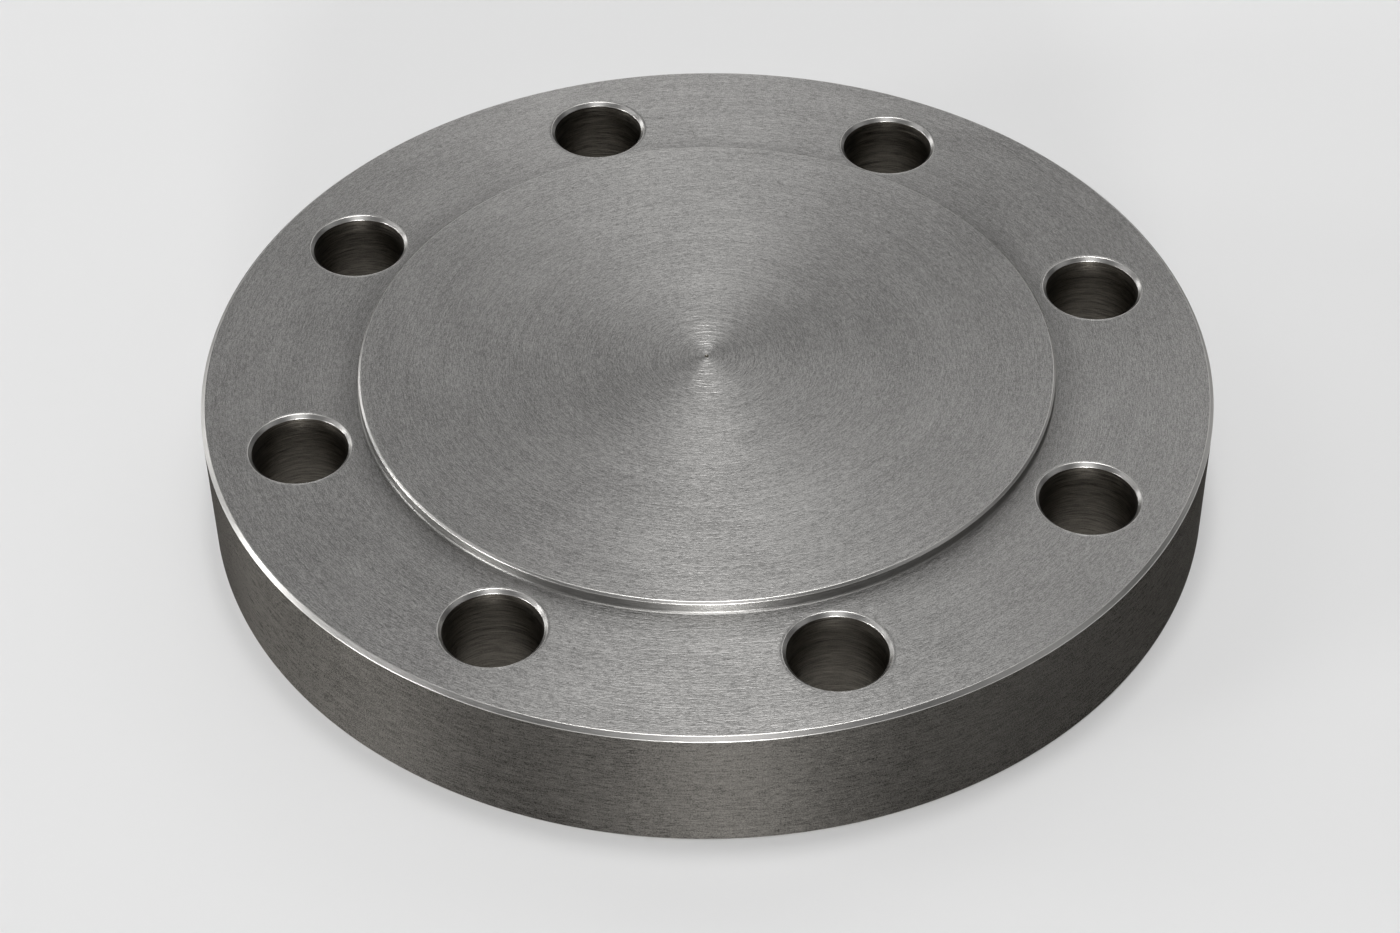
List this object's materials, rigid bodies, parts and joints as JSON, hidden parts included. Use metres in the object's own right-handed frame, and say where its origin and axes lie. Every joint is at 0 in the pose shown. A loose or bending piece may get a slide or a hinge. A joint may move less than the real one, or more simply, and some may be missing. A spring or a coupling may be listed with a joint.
{
  "type": "blind flange",
  "caption": "Thick round blind pipe flange in bare turned steel, with a low raised sealing face and a ring of bolt holes.",
  "frame": {"origin": "centre of the back face, on the flange's axis", "axes": "+Z along the flange's axis, out of the back face towards the raised sealing face; the X and Y axes each lie midway between two bolt holes"},
  "size_m": [0.235, 0.235, 0.035],
  "materials": {
    "turned_steel": "bare turned steel with fine circular tool marks"
  },
  "bodies": {
    "root": {"blind_flange": "turned_steel"}
  },
  "joints": []
}
